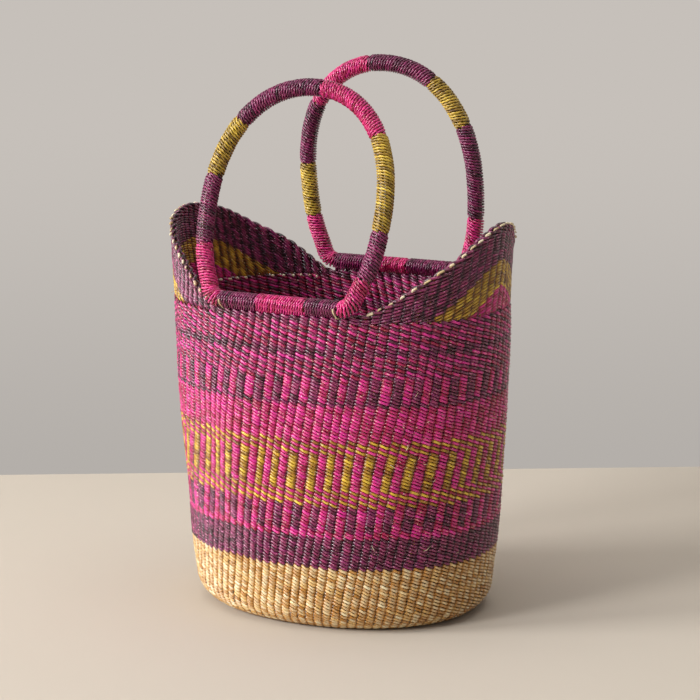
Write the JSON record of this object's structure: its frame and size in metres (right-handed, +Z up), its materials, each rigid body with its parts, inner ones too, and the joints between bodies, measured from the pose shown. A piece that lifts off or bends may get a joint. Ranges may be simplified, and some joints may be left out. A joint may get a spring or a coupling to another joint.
{
  "type": "bolga basket",
  "caption": "Tall oval carrying basket twined from dyed straw, with a raised ear at each end and a hinged hoop handle on each long side.",
  "frame": {"origin": "centre of the floor under the basket", "axes": "+Z up, +X from ear to ear, -Y towards the front handle"},
  "size_m": [0.3225, 0.2324, 0.4879],
  "materials": {
    "natural_straw": "twined natural straw",
    "purple_straw": "twined purple straw",
    "pink_straw": "twined pink straw",
    "gold_straw": "twined mustard straw",
    "mixed_straw": "twined pink and purple straw",
    "grass_core": "bundled dry grass"
  },
  "bodies": {
    "basket": {"back_lashing_1_purple": "purple_straw", "back_lashing_2_pink": "pink_straw", "back_lashing_3_purple": "purple_straw", "base_disc": "natural_straw", "dashed_band": "mixed_straw", "foot_band": "natural_straw", "front_lashing_1_purple": "purple_straw", "front_lashing_2_pink": "pink_straw", "front_lashing_3_purple": "purple_straw", "gold_pink_band": "gold_straw", "left_ear_border": "purple_straw", "left_ear_stripe": "gold_straw", "left_ear_wedge": "pink_straw", "lower_check_band": "mixed_straw", "pink_band": "pink_straw", "purple_band": "purple_straw", "right_ear_border": "purple_straw", "right_ear_stripe": "gold_straw", "right_ear_wedge": "pink_straw", "rim_band": "purple_straw", "upper_check_band": "mixed_straw"},
    "front_handle": {"front_grip_1_pink": "pink_straw", "front_grip_2_purple": "purple_straw", "front_grip_3_gold": "gold_straw", "front_grip_4_purple": "purple_straw", "front_grip_5_pink": "pink_straw", "front_grip_6_gold": "gold_straw", "front_grip_7_purple": "purple_straw", "front_grip_8_pink": "pink_straw", "front_handle_core": "grass_core"},
    "back_handle": {"back_grip_1_pink": "pink_straw", "back_grip_2_gold": "gold_straw", "back_grip_3_purple": "purple_straw", "back_grip_4_pink": "pink_straw", "back_grip_5_purple": "purple_straw", "back_grip_6_gold": "gold_straw", "back_grip_7_purple": "purple_straw", "back_grip_8_pink": "pink_straw", "back_handle_core": "grass_core"}
  },
  "joints": [
    {"name": "front_handle_hinge", "type": "hinge", "parent": "basket", "child": "front_handle", "pos_m": [0, -0.1085, 0.2905], "axis": [1, 0, 0], "range_deg": [-10, 100]},
    {"name": "back_handle_hinge", "type": "hinge", "parent": "basket", "child": "back_handle", "pos_m": [0, 0.1085, 0.2905], "axis": [-1, 0, 0], "range_deg": [-23, 87]}
  ]
}
